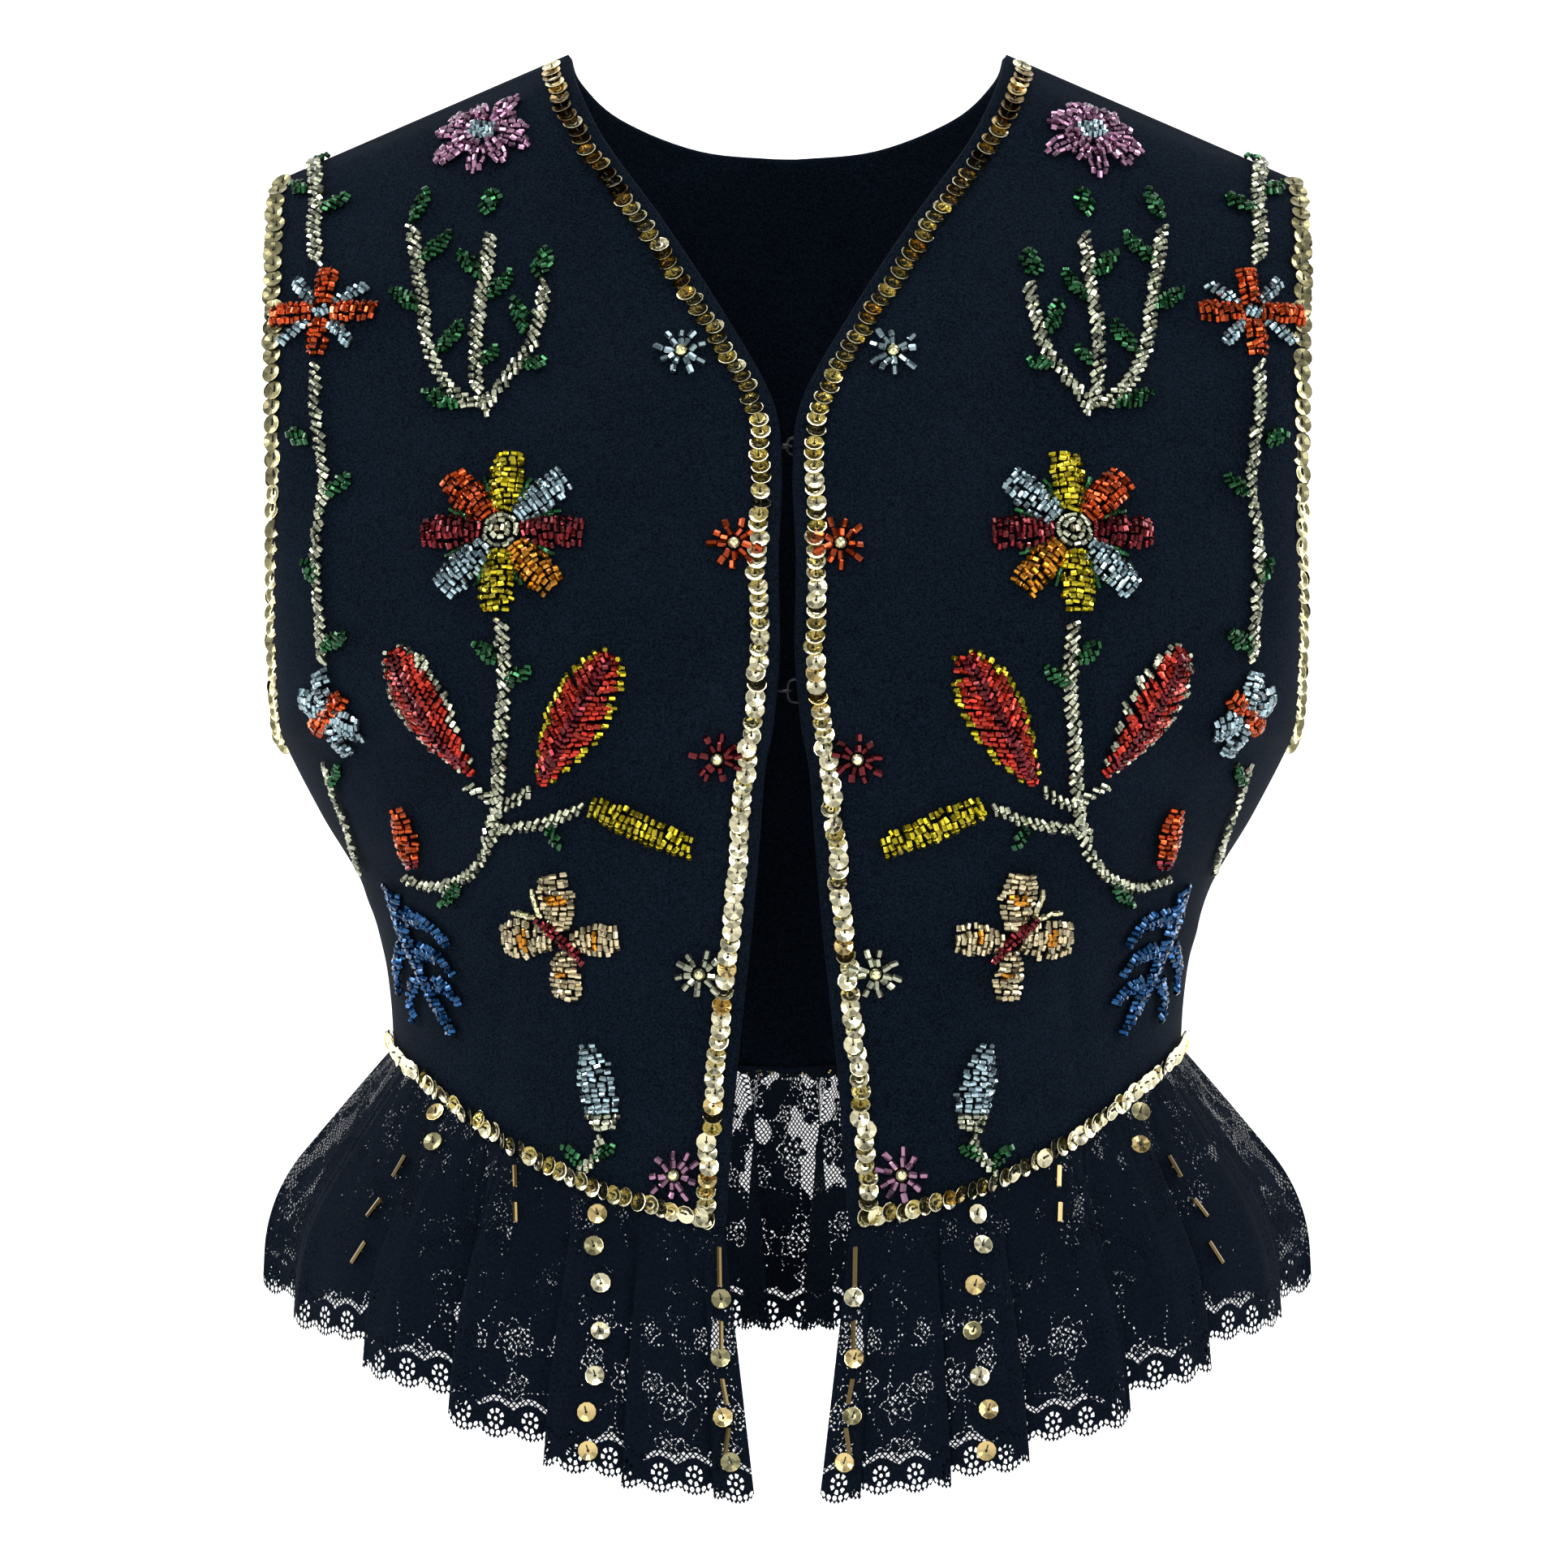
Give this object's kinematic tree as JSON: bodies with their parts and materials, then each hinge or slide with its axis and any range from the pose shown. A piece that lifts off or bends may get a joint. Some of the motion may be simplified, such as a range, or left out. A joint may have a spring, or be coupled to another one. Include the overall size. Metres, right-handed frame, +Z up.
{
  "type": "cropped vest",
  "caption": "Cropped sleeveless vest of black crepe with a V neck, bead embroidery, sequin edging, hook-and-eye fastening and a gathered lace peplum, in its worn form.",
  "frame": {"origin": "midway between the two shoulder seams, at their mean height", "axes": "+Z up the body, the front faces -Y, +X is on the viewer's right"},
  "size_m": [0.3428, 0.2364, 0.4706],
  "materials": {
    "crepe": "matt",
    "lace": "matt openwork",
    "wire": "black enamel",
    "beads_lilac": "glossy cut beads",
    "beads_orange": "glossy cut beads",
    "beads_blue": "glossy cut beads",
    "beads_mixed": "glossy cut beads",
    "beads_champagne": "glossy cut beads",
    "beads_coral": "glossy cut beads",
    "beads_yellow": "glossy cut beads"
  },
  "bodies": {
    "root": {"front_left": "crepe", "front_right": "crepe", "back": "crepe", "peplum_front_left": "lace", "peplum_front_right": "lace", "peplum_back": "lace", "hook_upper": "wire", "hook_lower": "wire", "eye_upper": "wire", "eye_lower": "wire", "shoulder_flower_left": "beads_lilac", "shoulder_flower_right": "beads_lilac", "vine_flower_left": "beads_orange", "vine_flower_right": "beads_orange", "side_flower_left": "beads_blue", "side_flower_right": "beads_blue", "large_flower_left": "beads_mixed", "large_flower_right": "beads_mixed", "butterfly_left": "beads_champagne", "butterfly_right": "beads_champagne", "leaf_outer_left": "beads_coral", "leaf_outer_right": "beads_coral", "leaf_inner_left": "beads_coral", "leaf_inner_right": "beads_coral", "spray_left": "beads_yellow", "spray_right": "beads_yellow", "bud_inner_left": "beads_blue", "bud_inner_right": "beads_blue", "bud_outer_left": "beads_orange", "bud_outer_right": "beads_orange"}
  },
  "joints": []
}
